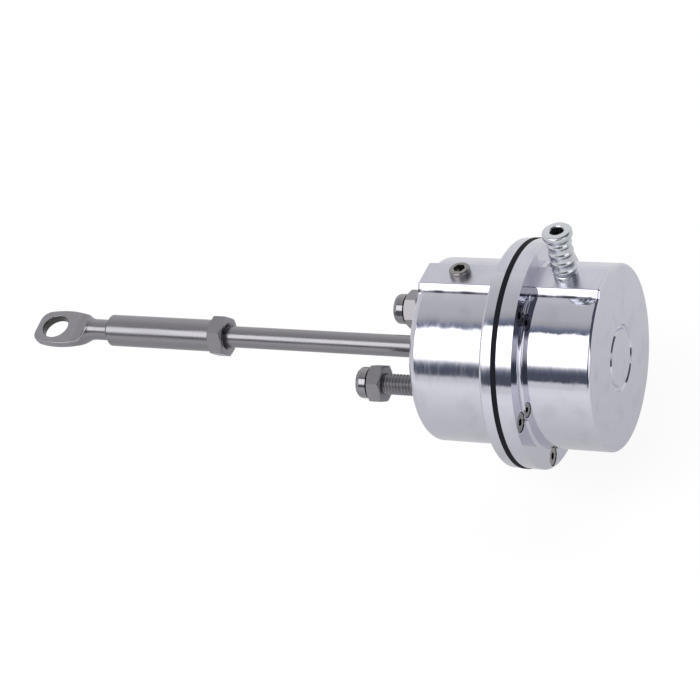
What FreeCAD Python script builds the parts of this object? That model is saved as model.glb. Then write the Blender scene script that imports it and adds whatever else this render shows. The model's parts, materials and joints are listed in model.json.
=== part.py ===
import FreeCAD, Part
import math
import os

# Wastegate actuator: a two-part can, a spring-loaded piston on a rolling diaphragm, and an
# adjustable rod that ends in an eye.
# Frame: the origin is the centre of the mounting face on the rod's axis. +X points to the cap,
# the rod leaves towards -X, +Z is the outward normal of the two flat pads, and the mounting
# studs stand on the Y axis. Millimetres.

# Can
body_radius = 25.9
flange_step = 6.1
wall = 5.4
floor_thickness = 8.0
housing_length = 23.45
housing_flange = 3.5
housing_edge = 2.5
flange_edge = 0.9
cap_flange = 4.4
cap_length = 19.8
cap_end_wall = 3.6
cap_edge = 1.0
inner_corner = 1.5
flange_radius = body_radius + flange_step
cavity_radius = body_radius - wall

# Flat pads on the housing and the cap
pad_rise = 1.1
pad_height = body_radius + pad_rise
pad_width = 9.0
pad_side_angle = 51.0
pad_root = 5.0
pad_end_edge = 0.9
pad_edge = 0.6

# Flange screws
screw_count = 6
screw_inset = 3.2
screw_circle = flange_radius - screw_inset
screw_radius = 1.5
screw_head_radius = 2.6
screw_head_height = 2.0
screw_head_sink = 0.2
screw_socket = 2.0
screw_socket_depth = 1.2
screw_bite = 2.9
screw_tip_gap = 0.2
counterbore_radius = 2.85

# Diaphragm
diaphragm_rim = 1.45
rim_stand = 0.15
diaphragm_rim_radius = flange_radius + rim_stand
diaphragm_skin = 0.8
diaphragm_disc = 1.2
loop_level = 3.3
loop_room = 4.5
loop_steps = 4

# Piston, retainer plate and nut
stroke = 12.7
piston_radius = cavity_radius - loop_room
piston_wall = 1.8
piston_head = 2.0
piston_rise = 4.25
piston_edge = 1.0
skirt_end_gap = 1.1
retainer_step = 1.5
retainer_radius = piston_radius - retainer_step
retainer_thickness = 1.5
stop_gap = 0.3
stop_boss_step = 3.5
stop_boss_width = 3.0
stop_boss_outer = retainer_radius - stop_boss_step
stop_boss_inner = stop_boss_outer - stop_boss_width
piston_nut_flats = 8.0
piston_nut_height = 4.0
spigot_radius = 2.5
spigot_stand = 0.8
spigot_chamfer = 0.5

# Return spring and its seat
spring_wire = 2.2
spring_turns = 3.0
spring_flats = 6
spring_grind = 0.5
spring_side_gap = 0.9
spring_radius = piston_radius - piston_wall - spring_wire / 2 - spring_side_gap
seat_margin = 0.6
seat_radius = spring_radius + spring_wire / 2 + seat_margin
seat_thickness = 0.8

# Rod, bush and seal
rod_radius = 3.175
rod_chamfer = 0.6
bush_radius = 5.0
bush_length = 5.2
bush_recess = 0.3
seal_radius = 6.0
seal_length = 2.4

# Mounting studs and lock nuts
stud_pitch = 33.4
stud_radius = 2.98
stud_depth = 7.0
stud_cover = 0.3
stud_chamfer = 0.6
lock_nut_faces = {-1: 11.2, 1: 12.2}
lock_nut_turns = {-1: 22.0, 1: 53.0}
lock_nut_flats = 10.0
lock_nut_hex = 4.3
lock_nut_height = 8.0
crown_radius = 4.45
crown_end_radius = 3.4
crown_round = 1.3
crown_steps = 3
crown_groove_radius = 4.0
crown_groove_width = 0.5
insert_radius = 3.95
insert_start = 5.0
insert_lip = 0.6
insert_mouth = 3.35

# Port plug
plug_place = 11.25
plug_radius = 2.98
plug_stand = 2.0
plug_socket = 3.0
plug_socket_depth = 2.5
plug_chamfer = 0.6
plug_recess = 0.4

# Hose barb
barb_place = 41.95
barb_height = 15.75
barb_bore = 1.85
barb_base_radius = 3.35
barb_base_height = 2.5
barb_valley_radius = 3.1
barb_rib_radius = 3.5
barb_rib_first = 3.6
barb_rib_pitch = 2.75
barb_rib_count = 4
barb_rib_foot = 0.65
barb_rib_crest = 0.2
barb_head_radius = 4.1
barb_head_height = 2.9
barb_head_taper = 1.3
barb_head_round = 0.55
barb_thread_radius = 2.48
barb_thread_length = 5.8

# Adjusting sleeve, jam nut and rod end
jam_nut_place = 68.7
jam_nut_flats = 11.1
jam_nut_thickness = 4.75
jam_nut_turn = 13.0
jam_nut_countersink = 4.2
sleeve_radius = 4.76
sleeve_length = 36.15
sleeve_taper_length = 1.2
sleeve_taper_depth = 1.4
sleeve_edge = 0.3
rod_engagement = 13.0
shank_engagement = 12.0
shank_length = 19.6
eye_bore = 4.05
eye_width = 13.0
eye_tip = 6.5
eye_corner = 3.6
eye_widest = 2.2
eye_side_radius = 28.0
eye_shoulder_radius = 6.0
eye_neck_radius = 5.0
eye_front = 0.5
eye_back = 2.3
eye_shoulder_end = 14.8
eye_runout_start = 8.9
eye_runout_radius = 3.5
eye_edge = 0.35
eye_bore_edge = 0.3
eye_clock = 10.9

# Clearances
thread_gap = 0.02
running_gap = 0.05
face_gap = 0.05
screw_hole_gap = 0.2
soft_gap = 0.2
hex_chamfer_angle = 30.0

# Places along X that follow from the sizes above
flange_start = housing_length
parting = housing_length + housing_flange
rim_top = parting + diaphragm_rim
cap_flange_top = rim_top + cap_flange
cap_end = cap_flange_top + cap_length
cavity_end = cap_end - cap_end_wall
piston_top = rim_top + piston_rise
piston_under = piston_top - piston_head
retainer_start = piston_top + diaphragm_disc
retainer_end = retainer_start + retainer_thickness
seat_top = floor_thickness + seat_thickness
skirt_end = floor_thickness + stroke + skirt_end_gap
jam_nut_start = -jam_nut_place - jam_nut_thickness
sleeve_end = jam_nut_start - face_gap
sleeve_start = sleeve_end - sleeve_length
eye_centre = sleeve_start - shank_length
rod_tip = sleeve_end - rod_engagement

AXIS = FreeCAD.Vector(1, 0, 0)
UP = FreeCAD.Vector(0, 0, 1)
ORIGIN = FreeCAD.Vector(0, 0, 0)


def vector(x, y, z):
    return FreeCAD.Vector(x, y, z)


def rounded_corner(before, corner, after, radius):
    """Start, middle and end of the arc that rounds a corner."""
    back = (before - corner).normalize()
    ahead = (after - corner).normalize()
    half_angle = back.getAngle(ahead) / 2
    reach = radius / math.tan(half_angle)
    bisector = (back + ahead).normalize()
    middle = corner + bisector * (radius / math.sin(half_angle) - radius)
    return corner + back * reach, middle, corner + ahead * reach


def outline_face(points):
    """Face in the XZ plane; a point (x, z, radius) has its corner rounded."""
    corners = [vector(point[0], 0, point[1]) for point in points]
    count = len(points)
    turns = []
    for index, point in enumerate(points):
        corner = corners[index]
        if len(point) == 3:
            turns.append(rounded_corner(corners[index - 1], corner, corners[(index + 1) % count], point[2]))
        else:
            turns.append((corner, None, corner))
    edges = []
    for index, (first, middle, last) in enumerate(turns):
        if middle is not None:
            edges.append(Part.Arc(first, middle, last).toShape())
        edges.append(Part.makeLine(last, turns[(index + 1) % count][0]))
    return Part.Face(Part.Wire(edges))


def revolved(profile):
    """Solid of revolution about X from a closed list of (x, radius) points, some with a rounding."""
    return outline_face(profile).revolve(ORIGIN, AXIS, 360)


def cylinder(radius, start, end, y=0.0, z=0.0):
    """Round bar along X."""
    return Part.makeCylinder(radius, end - start, vector(start, y, z), AXIS)


def tube(outer, inner, start, end):
    return revolved([(start, inner), (end, inner), (end, outer), (start, outer)])


def hexagon(flats, start, end, turn=0.0):
    """Hexagonal prism along X; turn is the angle of one corner from +Y."""
    corner = flats / math.sqrt(3)
    points = []
    for step in range(6):
        angle = math.radians(turn + 60 * step)
        points.append(vector(start, corner * math.cos(angle), corner * math.sin(angle)))
    face = Part.Face(Part.makePolygon(points + [points[0]]))
    return face.extrude(vector(end - start, 0, 0))


def hex_blank(flats, start, end, turn=0.0, chamfer_start=True, chamfer_end=True):
    """Hexagonal prism whose corners are turned off to a cone at the chosen ends."""
    corner = flats / math.sqrt(3)
    face_radius = 0.475 * flats
    drop = (corner - face_radius) * math.tan(math.radians(hex_chamfer_angle))
    profile = [(start, 0)]
    if chamfer_start:
        profile += [(start, face_radius), (start + drop, corner)]
    else:
        profile += [(start, corner)]
    if chamfer_end:
        profile += [(end - drop, corner), (end, face_radius)]
    else:
        profile += [(end, corner)]
    profile += [(end, 0)]
    return hexagon(flats, start, end, turn).common(revolved(profile))


def on_pad(shape, place):
    """Move a piece built upwards from z = 0 onto the pads' flat at this X."""
    moved = shape.copy()
    moved.translate(vector(place, 0, pad_height))
    return moved


def upright(profile):
    """Solid of revolution about Z from a closed list of (radius, z) points, some with a rounding."""
    return outline_face(profile).revolve(ORIGIN, UP, 360)


def hex_socket(flats, top, depth):
    """Upright hexagonal pocket tool, open at the top."""
    corner = flats / math.sqrt(3)
    points = []
    for step in range(6):
        angle = math.radians(60 * step)
        points.append(vector(corner * math.cos(angle), corner * math.sin(angle), top - depth))
    face = Part.Face(Part.makePolygon(points + [points[0]]))
    return face.extrude(vector(0, 0, depth + 1))


def pad(start, end):
    """Raised pad between two places on X, with rounded edges along its flat and at its start."""
    slope = math.radians(pad_side_angle)
    half = pad_width / 2
    foot = half + pad_root * math.cos(slope)
    foot_level = pad_height - pad_root * math.sin(slope)
    base = cavity_radius - wall
    section = outline_face([
        (-half, pad_height, pad_edge), (half, pad_height, pad_edge), (foot, foot_level),
        (foot, base), (-foot, base), (-foot, foot_level)])
    section.rotate(ORIGIN, UP, 90)
    section.translate(vector(start, 0, 0))
    bar = section.extrude(vector(end - start, 0, 0))
    rim = [edge for edge in bar.Edges
           if edge.BoundBox.XLength < 0.01 and abs(edge.BoundBox.XMin - start) < 0.01
           and edge.BoundBox.ZMax > foot_level + 0.01]
    return bar.makeFillet(pad_end_edge, rim)


def screw_places():
    """(y, z) of each flange screw."""
    step = 360.0 / screw_count
    for index in range(screw_count):
        angle = math.radians(step * index)
        yield screw_circle * math.cos(angle), screw_circle * math.sin(angle)


def save(name, solids):
    """Write one node; a group of separate solids becomes one compound."""
    if not isinstance(solids, list):
        solids = solids.Solids
    shape = solids[0] if len(solids) == 1 else Part.makeCompound(solids)
    if not shape.isValid():
        raise ValueError("invalid shape: " + name)
    shape.exportStep("parts/" + name + ".step")
    print(name, len(shape.Solids), "solid(s)", round(shape.Volume, 1), "mm3")


def lower_housing():
    outer = revolved([
        (0, 0), (0, body_radius, housing_edge), (flange_start, body_radius),
        (flange_start, flange_radius, flange_edge), (parting, flange_radius),
        (parting, 0)])
    shape = outer.fuse(pad(0, flange_start + flange_edge))
    cavity = revolved([
        (floor_thickness, 0), (floor_thickness, cavity_radius - inner_corner),
        (floor_thickness + inner_corner, cavity_radius), (parting, cavity_radius), (parting, 0)])
    cuts = [cavity, cylinder(bush_radius, 0, floor_thickness),
            cylinder(seal_radius, floor_thickness - seal_length, floor_thickness)]
    for side in (1, -1):
        cuts.append(cylinder(stud_radius + thread_gap, 0, stud_depth, side * stud_pitch / 2))
    for y, z in screw_places():
        cuts.append(cylinder(screw_radius + thread_gap, parting - screw_bite, parting, y, z))
    port = Part.makeCylinder(plug_radius + thread_gap, pad_height, vector(plug_place, 0, 0),
                             vector(0, 0, 1))
    cuts.append(port.cut(cylinder(cavity_radius - wall, 0, parting)))
    return shape.cut(cuts).removeSplitter()


def cap():
    outer = revolved([
        (rim_top, 0), (rim_top, flange_radius),
        (cap_flange_top, flange_radius), (cap_flange_top, body_radius),
        (cap_end, body_radius, cap_edge), (cap_end, 0)])
    shape = outer.fuse(pad(cap_end, cap_flange_top - cap_flange / 2))
    stop_end = retainer_end + stop_gap
    cavity = revolved([
        (rim_top, 0), (rim_top, cavity_radius), (cavity_end - inner_corner, cavity_radius),
        (cavity_end, cavity_radius - inner_corner), (cavity_end, stop_boss_outer),
        (stop_end, stop_boss_outer), (stop_end, stop_boss_inner),
        (cavity_end, stop_boss_inner), (cavity_end, 0)])
    cuts = [cavity]
    head_floor = cap_flange_top - screw_head_sink - screw_head_height
    for y, z in screw_places():
        cuts.append(cylinder(screw_radius + screw_hole_gap, rim_top, cap_flange_top, y, z))
        cuts.append(cylinder(counterbore_radius, head_floor, cap_flange_top + 1, y, z))
    inlet = Part.makeCylinder(barb_thread_radius + thread_gap, pad_height,
                              vector(barb_place, 0, 0), vector(0, 0, 1))
    cuts.append(inlet.cut(cylinder(cavity_radius - wall, rim_top, cap_end)))
    return shape.cut(cuts).removeSplitter()


def half_ring(x, radius, arc):
    """Points of the half circle below x that joins the diaphragm's two legs."""
    points = []
    for step in range(loop_steps + 1):
        angle = math.radians(180 * step / loop_steps)
        points.append((x - arc * math.sin(angle), radius + arc * math.cos(angle)))
    return points


def diaphragm():
    """Clamped rim, rolling loop between the wall and the piston's skirt, and clamped disc."""
    wall_face = cavity_radius - soft_gap
    skirt_face = piston_radius + soft_gap
    loop_x = parting - loop_level
    middle = (wall_face + skirt_face) / 2
    arc = (wall_face - skirt_face) / 2
    outer = half_ring(loop_x, middle, arc)
    inner = half_ring(loop_x, middle, arc - diaphragm_skin)
    bore = spigot_radius + thread_gap
    profile = [(rim_top, diaphragm_rim_radius), (parting, diaphragm_rim_radius),
               (parting, wall_face)]
    profile += outer
    profile += [(piston_top, skirt_face), (piston_top, bore), (retainer_start, bore),
                (retainer_start, skirt_face + diaphragm_skin)]
    profile += inner[::-1]
    profile += [(rim_top, wall_face - diaphragm_skin)]
    holes = [cylinder(screw_radius + screw_hole_gap, parting, rim_top, y, z)
             for y, z in screw_places()]
    return revolved(profile).cut(holes)


def piston():
    shape = revolved([
        (skirt_end, piston_radius - piston_wall), (skirt_end, piston_radius),
        (piston_top - piston_edge, piston_radius), (piston_top, piston_radius - piston_edge),
        (piston_top, spigot_radius + thread_gap), (piston_under, spigot_radius + thread_gap),
        (piston_under, piston_radius - piston_wall)])
    return shape


def retainer_plate():
    edge = retainer_thickness / 2
    return revolved([
        (retainer_start, spigot_radius + thread_gap), (retainer_start, retainer_radius - edge),
        (retainer_start + edge, retainer_radius), (retainer_end, retainer_radius),
        (retainer_end, spigot_radius + thread_gap)])


def piston_nut():
    end = retainer_end + piston_nut_height
    blank = hex_blank(piston_nut_flats, retainer_end, end)
    return blank.cut(cylinder(spigot_radius + thread_gap, retainer_end, end))


def return_spring():
    """Coil of many-sided wire between the seat and the piston's underside, its ends ground flat."""
    length = piston_under - seat_top
    pitch = (length - spring_wire) / spring_turns
    helix = Part.makeHelix(pitch, pitch * (spring_turns + 2 * spring_grind), spring_radius)
    corners = []
    for step in range(spring_flats + 1):
        angle = math.radians(360 * (step % spring_flats) / spring_flats)
        corners.append(vector(spring_radius + spring_wire / 2 * math.cos(angle), 0,
                              spring_wire / 2 * math.sin(angle)))
    coil = Part.Wire(helix).makePipeShell([Part.makePolygon(corners)], True, True)
    coil.translate(vector(0, 0, spring_wire / 2 - spring_grind * pitch))
    ground = coil.common(Part.makeCylinder(spring_radius + spring_wire, length))
    ground.rotate(ORIGIN, vector(0, 1, 0), 90)
    ground.translate(vector(seat_top, 0, 0))
    return ground


def spring_seat():
    return tube(seat_radius, rod_radius + 2 * running_gap + thread_gap, floor_thickness, seat_top)


def rod():
    spigot_end = retainer_end + piston_nut_height + spigot_stand
    return revolved([
        (rod_tip, 0), (rod_tip, rod_radius - rod_chamfer), (rod_tip + rod_chamfer, rod_radius),
        (piston_under, rod_radius), (piston_under, spigot_radius),
        (spigot_end - spigot_chamfer, spigot_radius),
        (spigot_end, spigot_radius - spigot_chamfer), (spigot_end, 0)])


def rod_bush():
    return tube(bush_radius - thread_gap, rod_radius + running_gap, bush_recess,
                bush_recess + bush_length)


def rod_seal():
    start = floor_thickness - seal_length
    return tube(seal_radius - thread_gap, rod_radius + running_gap, start, floor_thickness)


def mounting_stud(side):
    end = -lock_nut_faces[side] - lock_nut_height + stud_cover
    shape = revolved([
        (end, 0), (end, stud_radius - stud_chamfer), (end + stud_chamfer, stud_radius),
        (stud_depth - stud_chamfer, stud_radius), (stud_depth, stud_radius - stud_chamfer),
        (stud_depth, 0)])
    shape.translate(vector(0, side * stud_pitch / 2, 0))
    return shape


def lock_nut(side):
    """Hexagon with a domed crown that holds a nylon ring; the crown points away from the can."""
    face = -lock_nut_faces[side]
    hex_end = face - lock_nut_hex
    top = face - lock_nut_height
    blank = hex_blank(lock_nut_flats, hex_end, face, lock_nut_turns[side])
    groove_end = hex_end - crown_groove_width
    profile = [(hex_end + 1, 0), (hex_end + 1, crown_groove_radius), (groove_end, crown_groove_radius),
               (groove_end, crown_radius), (top + crown_round, crown_radius)]
    for step in range(1, crown_steps + 1):
        angle = math.radians(90 * step / crown_steps)
        x = top + crown_round * (1 - math.sin(angle))
        radius = crown_end_radius + (crown_radius - crown_end_radius) * math.cos(angle)
        profile.append((x, radius))
    profile.append((top, 0))
    crown = revolved(profile)
    bore = cylinder(stud_radius + thread_gap, top, face)
    recess = cylinder(insert_radius, top + insert_lip, face - insert_start)
    mouth = cylinder(insert_mouth, top, top + insert_lip)
    shape = blank.fuse(crown).cut([bore, recess, mouth]).removeSplitter()
    shape.translate(vector(0, side * stud_pitch / 2, 0))
    return shape


def lock_nut_insert(side):
    face = -lock_nut_faces[side]
    top = face - lock_nut_height
    shape = tube(insert_radius - thread_gap, stud_radius + thread_gap, top + insert_lip,
                 face - insert_start)
    shape.translate(vector(0, side * stud_pitch / 2, 0))
    return shape


def port_plug():
    """Socket set screw that stands proud of the housing's pad."""
    bottom = cavity_radius + plug_recess - pad_height
    shape = upright([
        (0, bottom), (plug_radius - plug_chamfer, bottom), (plug_radius, bottom + plug_chamfer),
        (plug_radius, plug_stand, plug_chamfer), (0, plug_stand)])
    shape = shape.cut(hex_socket(plug_socket, plug_stand, plug_socket_depth))
    return on_pad(shape, plug_place)


def hose_barb():
    """Threaded spigot, plain base, ribs and a larger head, bored through."""
    head_start = barb_height - barb_head_height
    profile = [(barb_bore, -barb_thread_length), (barb_thread_radius, -barb_thread_length),
               (barb_thread_radius, 0), (barb_base_radius, 0), (barb_base_radius, barb_base_height),
               (barb_valley_radius, barb_base_height)]
    for index in range(barb_rib_count):
        middle = barb_rib_first + index * barb_rib_pitch
        profile += [(barb_valley_radius, middle - barb_rib_foot),
                    (barb_rib_radius, middle - barb_rib_crest),
                    (barb_rib_radius, middle + barb_rib_crest),
                    (barb_valley_radius, middle + barb_rib_foot)]
    profile += [(barb_valley_radius, head_start), (barb_head_radius, head_start + barb_head_taper),
                (barb_head_radius, barb_height, barb_head_round), (barb_bore, barb_height)]
    return on_pad(upright(profile), barb_place)


def flange_screws():
    """Low socket-head screws, one solid each, sunk in the cap's flange."""
    top = cap_flange_top - screw_head_sink
    head_floor = top - screw_head_height
    tip = parting - screw_bite + screw_tip_gap
    solids = []
    for y, z in screw_places():
        shank = cylinder(screw_radius, tip, head_floor)
        head = cylinder(screw_head_radius, head_floor, top)
        socket = hexagon(screw_socket, top - screw_socket_depth, top + 1)
        screw = shank.fuse(head).cut(socket).removeSplitter()
        screw.translate(vector(0, y, z))
        solids += screw.Solids
    return solids


def adjusting_sleeve():
    bore = rod_radius + running_gap
    return revolved([
        (sleeve_start, bore), (sleeve_start, sleeve_radius - sleeve_taper_depth),
        (sleeve_start + sleeve_taper_length, sleeve_radius),
        (sleeve_end - sleeve_edge, sleeve_radius), (sleeve_end, sleeve_radius - sleeve_edge),
        (sleeve_end, bore)])


def jam_nut():
    end = -jam_nut_place
    blank = hex_blank(jam_nut_flats, jam_nut_start, end, jam_nut_turn)
    sink = jam_nut_countersink - rod_radius
    countersink = revolved([
        (end - sink, 0), (end - sink, rod_radius), (end, jam_nut_countersink), (end, 0)])
    return blank.cut([cylinder(rod_radius + running_gap, jam_nut_start, end), countersink])


def along(origin, through, distance):
    """Point at this distance from the origin on the ray through another point."""
    return origin + (through - origin).normalize() * distance


def arc(centre, radius, start, end):
    """Shorter arc from start to end about this centre."""
    middle = along(centre, (start + end) * 0.5, radius)
    return Part.Arc(start, middle, end).toShape()


def meeting_centre(first, first_distance, second, second_distance):
    """Upper point of the XZ plane at given distances from two centres."""
    base = second - first
    span = base.Length
    reach = (span * span + first_distance ** 2 - second_distance ** 2) / (2 * span)
    rise = math.sqrt(first_distance ** 2 - reach ** 2)
    ahead = base * (1 / span)
    return first + ahead * reach + vector(-ahead.z, 0, ahead.x) * rise


def segment(x0, z0, x1, z1):
    return Part.makeLine(vector(x0, 0, z0), vector(x1, 0, z1))


def runout(level, sense):
    """Arc of the forging die that lifts away from a flat at this level."""
    rise = 0.97 * eye_runout_radius
    swing = math.acos(1 - rise / eye_runout_radius)
    start = vector(eye_runout_start, 0, level)
    middle = vector(eye_runout_start + eye_runout_radius * math.sin(swing / 2), 0,
                    level + sense * eye_runout_radius * (1 - math.cos(swing / 2)))
    end = vector(eye_runout_start + eye_runout_radius * math.sin(swing), 0, level + sense * rise)
    return Part.Arc(start, middle, end).toShape(), end


def eye_outline():
    """Half outline of the eye and its shank in tangent arcs, turned about X before it is flattened."""
    top = eye_width / 2
    tail = shank_length + shank_engagement
    side_centre = vector(eye_widest, 0, top - eye_side_radius)
    corner_x = eye_corner - eye_tip
    corner_z = side_centre.z + math.sqrt((eye_side_radius - eye_corner) ** 2 - (corner_x - eye_widest) ** 2)
    corner_centre = vector(corner_x, 0, corner_z)
    neck_centre = vector(eye_shoulder_end, 0, rod_radius + eye_neck_radius)
    shoulder_centre = meeting_centre(side_centre, eye_side_radius - eye_shoulder_radius,
                                     neck_centre, eye_neck_radius + eye_shoulder_radius)
    tip = vector(-eye_tip, 0, corner_z)
    corner_end = along(side_centre, corner_centre, eye_side_radius)
    side_end = along(side_centre, shoulder_centre, eye_side_radius)
    shoulder_end = along(neck_centre, shoulder_centre, eye_neck_radius)
    neck_end = vector(eye_shoulder_end, 0, rod_radius)
    return [segment(-eye_tip, 0, -eye_tip, corner_z),
            arc(corner_centre, eye_corner, tip, corner_end),
            arc(side_centre, eye_side_radius, corner_end, side_end),
            arc(shoulder_centre, eye_shoulder_radius, side_end, shoulder_end),
            arc(neck_centre, eye_neck_radius, shoulder_end, neck_end),
            segment(eye_shoulder_end, rod_radius, tail, rod_radius),
            segment(tail, rod_radius, tail, 0), segment(tail, 0, -eye_tip, 0)]


def eye_slab():
    """Space between the two die faces."""
    front_arc, front = runout(eye_front, 1)
    back_arc, back = runout(-eye_back, -1)
    out = -eye_tip - 1
    tail = shank_length + shank_engagement + 1
    outline = [segment(out, -eye_back, eye_runout_start, -eye_back), back_arc,
               segment(back.x, back.z, tail, back.z), segment(tail, back.z, tail, front.z),
               segment(tail, front.z, front.x, front.z), front_arc,
               segment(eye_runout_start, eye_front, out, eye_front),
               segment(out, eye_front, out, -eye_back)]
    face = Part.Face(Part.Wire(outline))
    face.translate(vector(0, -eye_width, 0))
    return face.extrude(vector(0, 2 * eye_width, 0))


def is_eye_rim(edge):
    """True for the edges that run round either flat of the eye."""
    box = edge.BoundBox
    middle = edge.valueAt((edge.FirstParameter + edge.LastParameter) / 2)
    along = box.YLength < 0.01
    across = box.XLength < 0.01 and abs(middle.x + eye_tip) > 0.1
    on_flat = middle.z > eye_front - 0.02 or middle.z < -eye_back + 0.02
    on_shank = middle.x > eye_shoulder_end - 0.7
    return on_flat and not (on_shank or across or (along and abs(middle.y) < 0.1))


def rod_end():
    """Round bar forged flat into an eye, with rounded edges and a countersunk bore."""
    turned = Part.Face(Part.Wire(eye_outline())).revolve(ORIGIN, AXIS, 360)
    turned.rotate(ORIGIN, AXIS, 90)
    shape = turned.common(eye_slab())
    shape = shape.makeFillet(eye_edge, [edge for edge in shape.Edges if is_eye_rim(edge)])
    bore = Part.makeCylinder(eye_bore, eye_width, vector(0, 0, -eye_width / 2))
    front_sink = upright([
        (0, eye_front - eye_bore_edge), (eye_bore, eye_front - eye_bore_edge),
        (eye_bore + eye_bore_edge, eye_front), (0, eye_front)])
    back_sink = upright([
        (0, -eye_back), (eye_bore + eye_bore_edge, -eye_back),
        (eye_bore, -eye_back + eye_bore_edge), (0, -eye_back + eye_bore_edge)])
    shape = shape.cut([bore, front_sink, back_sink])
    shape.rotate(ORIGIN, AXIS, eye_clock)
    shape.translate(vector(eye_centre, 0, 0))
    return shape


os.makedirs("parts", exist_ok=True)
save("lower_housing", lower_housing())
save("cap", cap())
save("diaphragm", diaphragm())
save("piston", piston())
save("retainer_plate", retainer_plate())
save("piston_nut", piston_nut())
save("return_spring", return_spring())
save("spring_seat", spring_seat())
save("rod", rod())
save("rod_bush", rod_bush())
save("rod_seal", rod_seal())
for number, side in ((1, -1), (2, 1)):
    save("mounting_stud_%d" % number, mounting_stud(side))
    save("lock_nut_%d" % number, lock_nut(side))
    save("lock_nut_insert_%d" % number, lock_nut_insert(side))
save("port_plug", port_plug())
save("hose_barb", hose_barb())
save("flange_screws", flange_screws())
save("adjusting_sleeve", adjusting_sleeve())
save("jam_nut", jam_nut())
save("rod_end", rod_end())
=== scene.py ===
import bpy
import json
import math
from mathutils import Matrix, Vector
from mathutils.geometry import tessellate_polygon


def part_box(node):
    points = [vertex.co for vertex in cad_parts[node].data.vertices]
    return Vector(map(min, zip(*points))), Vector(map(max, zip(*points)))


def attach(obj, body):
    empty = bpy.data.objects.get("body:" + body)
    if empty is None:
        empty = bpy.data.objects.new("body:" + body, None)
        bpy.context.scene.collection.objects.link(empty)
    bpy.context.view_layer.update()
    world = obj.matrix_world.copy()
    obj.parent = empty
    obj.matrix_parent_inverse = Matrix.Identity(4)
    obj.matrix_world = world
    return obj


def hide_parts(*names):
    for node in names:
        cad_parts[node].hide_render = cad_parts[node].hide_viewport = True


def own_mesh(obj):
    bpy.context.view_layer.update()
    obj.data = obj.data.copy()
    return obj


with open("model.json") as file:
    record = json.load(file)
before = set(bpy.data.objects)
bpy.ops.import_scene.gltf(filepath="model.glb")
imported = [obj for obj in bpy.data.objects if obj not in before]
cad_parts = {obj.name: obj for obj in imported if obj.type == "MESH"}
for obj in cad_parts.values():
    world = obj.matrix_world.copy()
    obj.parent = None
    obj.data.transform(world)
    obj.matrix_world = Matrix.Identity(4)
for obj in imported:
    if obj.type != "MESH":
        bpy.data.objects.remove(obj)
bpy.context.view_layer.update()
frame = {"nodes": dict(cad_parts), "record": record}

MM = 0.001

# Camera, worked out from the rims, the flange and the rod. Metres and degrees.
CAMERA_PLACE = Vector((0.238101, -0.434684, 0.369199))
CAMERA_AIM = Vector((-0.02488, -0.008007, 0.004253))
CAMERA_ROLL = 16.74
CAMERA_LENS = 112.26
CAMERA_SENSOR = 36.0

# Floor. Its glow is how bright it looks in the metal, by its place across the object's axis as far
# as FLOOR_REACH, darker beneath the object as a painted shadow. FLOOR_SEEN is the share of that look over
# the plain floor.
FLOOR_LEVEL = -0.045
FLOOR_SIZE = 6.0
FLOOR_COLOUR = (0.9, 0.9, 0.9, 1)
FLOOR_SEEN = 0.85
FLOOR_REACH = 0.5
FLOOR_GLOW_WITH_PAINTED_SHADOW = [(-0.5, 0.82), (-0.3, 0.86), (-0.15, 0.79), (-0.1, 0.72), (-0.04, 0.59), (0.0, 0.57),
              (0.1, 0.70), (0.5, 0.80)]

# Lamps: name, place, size and power
LAMPS = [("key", (-0.3, -0.8, 0.8), (2.0, 0.8), 12), ("top", (0.0, 0.5, 1.2), (2.0, 1.0), 8)]

# Studio: (angle, level) where the angle runs from straight up towards the camera's side (-Y).
# The first list lights what faces the rod, the others turn more and more to the cap's side, and
# TURNS gives the span of the direction's X in which each of them takes over.
STUDIO_PEAK = 2.4
STUDIO_SHADE = (0.86, 0.95, 1.22)
STUDIO_SHADE_LEVEL = 0.36
ROD_SIDE = [(-180, 0.74), (180, 0.74)]
ACROSS = [
    (-95, 0.80), (-72, 0.82), (-60, 0.88), (-45, 0.86), (-10, 0.61), (8, 0.57), (15, 0.46),
    (19.5, 0.27), (24, 0.18), (27, 2.40), (60, 2.40), (63, 1.90), (67, 0.50), (70, 0.20), (74, 0.11),
    (83, 0.11), (85.5, 0.74), (90.5, 0.78), (180, 0.70),
]
CAP_SIDE = [
    (-180, 0.70), (-48, 0.83), (-40, 0.10), (29, 0.10), (35, 0.72), (50, 0.60), (57, 0.45),
    (63, 0.12), (68, 0.07), (88, 0.07), (91, 0.78), (180, 0.70),
]
CAP_END = [
    (-180, 0.70), (-48, 0.83), (-40, 0.10), (34, 0.10), (38, 1.6), (82, 1.6), (86, 0.10),
    (89, 0.10), (91, 0.78), (180, 0.70),
]
TURNS = [(-0.66, -0.60), (0.03, 0.10), (0.68, 0.74)]

# Stud threads, M6. Their flanks' steepness and offset leave narrow flats at the crest and the root.
THREAD_PITCH = 1.0 * MM
THREAD_DEPTH = 0.5 * MM
THREAD_CHAMFER = 0.6 * MM
THREAD_IN = 2.0 * MM
THREAD_STEPS = 14
THREAD_SIDES = 56
FLANK_STEEPNESS = 1.25
FLANK_OFFSET = 0.12

# Cap's end face and the groove in it, whose section bends at shares of its width and its depth
FORWARD = Vector((1, 0, 0))
END_FACING = 0.999
END_MARGIN = 0.01 * MM
MERGE_DIGITS = 7
GROOVE_RADIUS = 8.6 * MM
GROOVE_WIDTH = 1.5 * MM
GROOVE_DEPTH = 0.75 * MM
GROOVE_BEND = (0.3, 0.8)
GROOVE_SIDES = 144

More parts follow.
